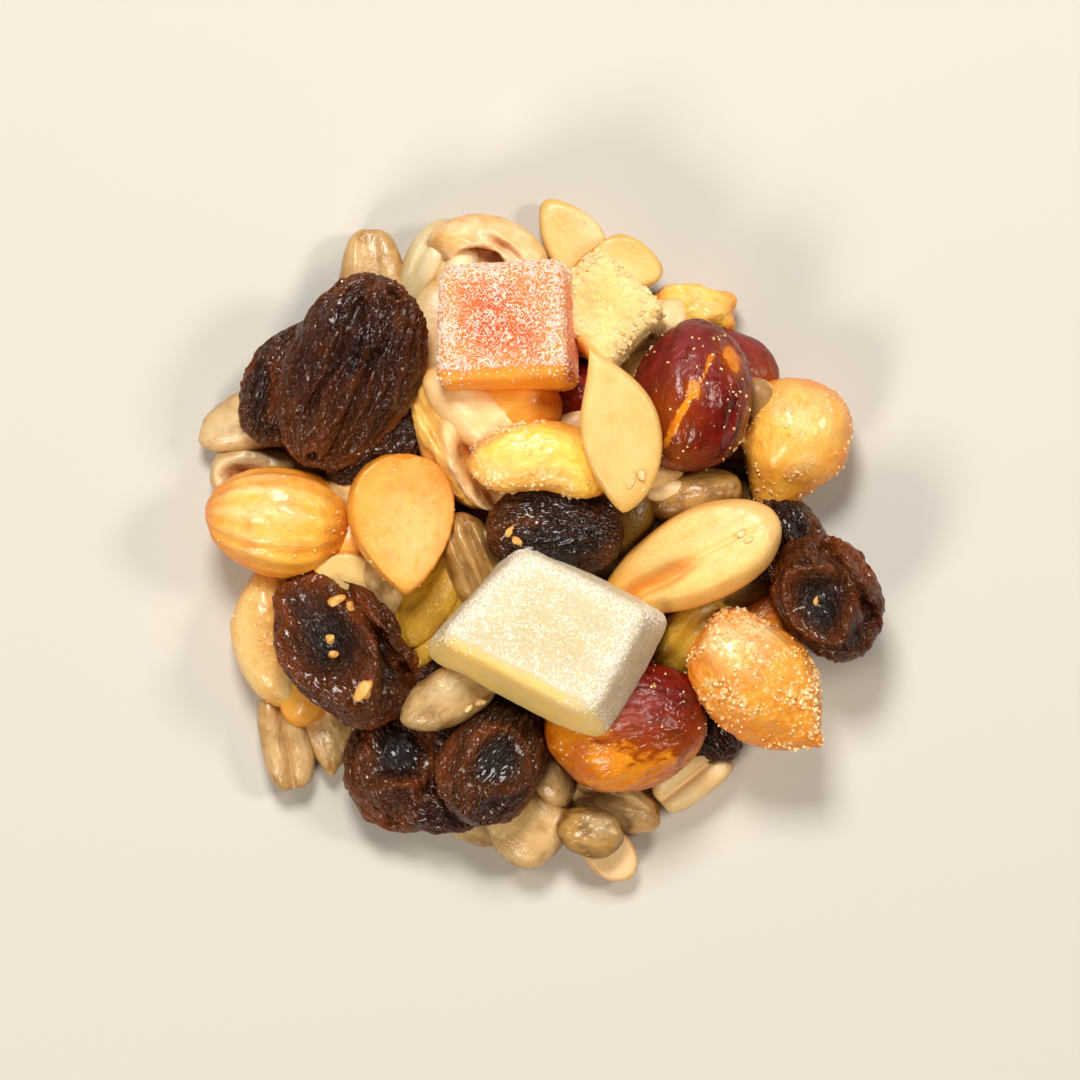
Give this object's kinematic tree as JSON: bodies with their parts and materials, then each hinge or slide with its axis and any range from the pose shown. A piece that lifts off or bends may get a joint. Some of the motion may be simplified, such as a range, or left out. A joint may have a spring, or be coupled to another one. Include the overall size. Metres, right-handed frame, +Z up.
{
  "type": "heap of trail mix",
  "caption": "A low round heap of trail mix: roasted nuts, nut halves, seed kernels, wrinkled raisins and sugared cubes of candied fruit, lying as they fell.",
  "frame": {"origin": "on the surface that the heap lies on, under the middle of its outline", "axes": "+Z up, +Y to the side where the orange cube of fruit lies, +X to the right of it seen from above"},
  "size_m": [0.0694, 0.0692, 0.0204],
  "materials": {
    "roasted_nut": "oily roasted nut with salt, satin",
    "raisin": "dark wrinkled fruit skin, glossy on its folds",
    "candied_orange": "translucent fruit jelly under a coat of white sugar",
    "candied_pale": "translucent pale fruit jelly under a coat of white sugar",
    "red_skin_nut": "dark red nut skin with a soft gloss, orange where it is split",
    "pale_nut": "pale blanched nut, satin",
    "kernel": "tan seed kernel, satin with an oily sheen",
    "green_seed": "olive green and brown seed, satin",
    "crumbs": "sugar and salt grains and nut crumbs"
  },
  "bodies": {
    "root": {"trail_mix_heap": "roasted_nut"}
  },
  "joints": []
}
